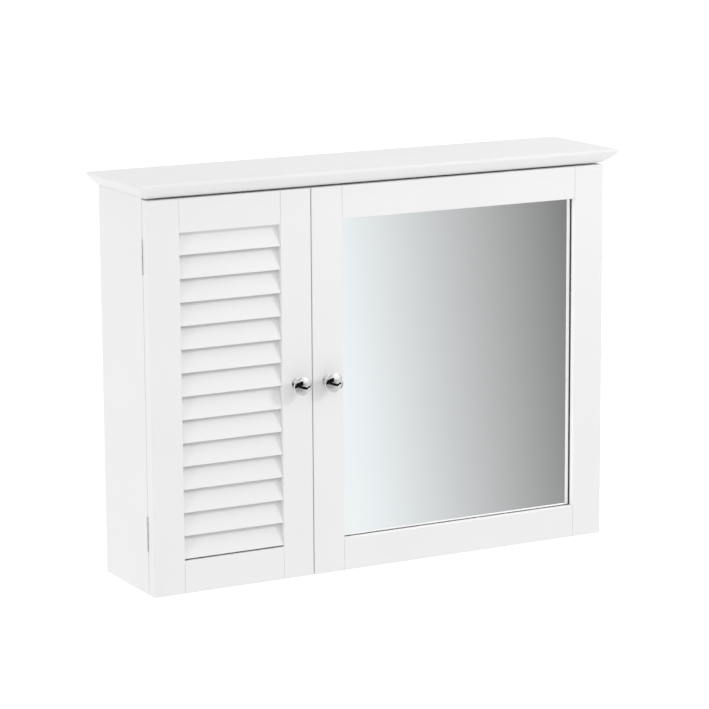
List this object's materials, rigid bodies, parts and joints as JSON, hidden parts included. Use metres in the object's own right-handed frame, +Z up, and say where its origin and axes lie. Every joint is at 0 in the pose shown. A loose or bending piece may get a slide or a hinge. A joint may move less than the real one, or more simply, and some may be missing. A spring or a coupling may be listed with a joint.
{
  "type": "bathroom mirror cabinet",
  "caption": "Wall-hung white bathroom cabinet with a moulded top, a narrow louvre door beside a wide mirror door, butt hinges and chrome knobs.",
  "frame": {"origin": "on the wall plane, at the middle of the cabinet's width, level with its bottom edge", "axes": "+X to the right seen from the front, +Y towards the wall, +Z up; the doors face -Y"},
  "size_m": [0.65, 0.1599, 0.49],
  "materials": {
    "white_lacquer": "satin white lacquer on fibreboard",
    "white_hardboard": "hardboard, white lacquer on the inner face",
    "brown_hardboard": "raw hardboard",
    "beech": "raw beech",
    "chrome": "polished chrome plate",
    "nickel_steel": "nickel-plated steel",
    "zinc": "zinc-plated steel",
    "white_plastic": "moulded white plastic",
    "magnet": "ferrite",
    "mirror_glass": "silvered float glass"
  },
  "bodies": {
    "cabinet": {"back_panel": "white_hardboard", "bottom_panel": "white_lacquer", "cam_bolts": "zinc", "cam_discs": "zinc", "catch_magnets": "magnet", "catch_screws": "zinc", "centre_partition": "white_lacquer", "cornice_top": "white_lacquer", "dowels": "beech", "hanging_plate_screws": "zinc", "hanging_plates": "nickel_steel", "hanging_rail": "white_lacquer", "left_catch": "white_plastic", "left_hinge_carcass_leaves": "nickel_steel", "left_hinge_carcass_screws": "zinc", "left_hinge_pins": "nickel_steel", "left_shelf": "white_lacquer", "left_side_panel": "white_lacquer", "right_catch": "white_plastic", "right_hinge_carcass_leaves": "nickel_steel", "right_hinge_carcass_screws": "zinc", "right_hinge_pins": "nickel_steel", "right_shelf": "white_lacquer", "right_side_panel": "white_lacquer", "shelf_pins": "nickel_steel"},
    "louvre_door": {"louvre_bottom_rail": "white_lacquer", "louvre_hinge_stile": "white_lacquer", "louvre_lock_stile": "white_lacquer", "louvre_slat_01": "white_lacquer", "louvre_slat_02": "white_lacquer", "louvre_slat_03": "white_lacquer", "louvre_slat_04": "white_lacquer", "louvre_slat_05": "white_lacquer", "louvre_slat_06": "white_lacquer", "louvre_slat_07": "white_lacquer", "louvre_slat_08": "white_lacquer", "louvre_slat_09": "white_lacquer", "louvre_slat_10": "white_lacquer", "louvre_slat_11": "white_lacquer", "louvre_slat_12": "white_lacquer", "louvre_slat_13": "white_lacquer", "louvre_slat_14": "white_lacquer", "louvre_top_rail": "white_lacquer", "left_knob": "chrome", "left_knob_screw": "zinc", "left_strike_plate": "nickel_steel", "left_hinge_door_leaves": "nickel_steel", "left_door_screws": "zinc"},
    "mirror_door": {"mirror_backing": "brown_hardboard", "mirror_bottom_rail": "white_lacquer", "mirror_glass": "mirror_glass", "mirror_hinge_stile": "white_lacquer", "mirror_lock_stile": "white_lacquer", "mirror_panel_pins": "nickel_steel", "mirror_top_rail": "white_lacquer", "right_knob": "chrome", "right_knob_screw": "zinc", "right_strike_plate": "nickel_steel", "right_hinge_door_leaves": "nickel_steel", "right_door_screws": "zinc"}
  },
  "joints": [
    {"name": "louvre_door_hinge", "type": "hinge", "parent": "cabinet", "child": "louvre_door", "pos_m": [-0.3103, -0.12275, 0.2354], "axis": [0, 0, -1], "range_deg": [0, 180]},
    {"name": "mirror_door_hinge", "type": "hinge", "parent": "cabinet", "child": "mirror_door", "pos_m": [0.3103, -0.12275, 0.2354], "axis": [0, 0, 1], "range_deg": [0, 180]}
  ]
}
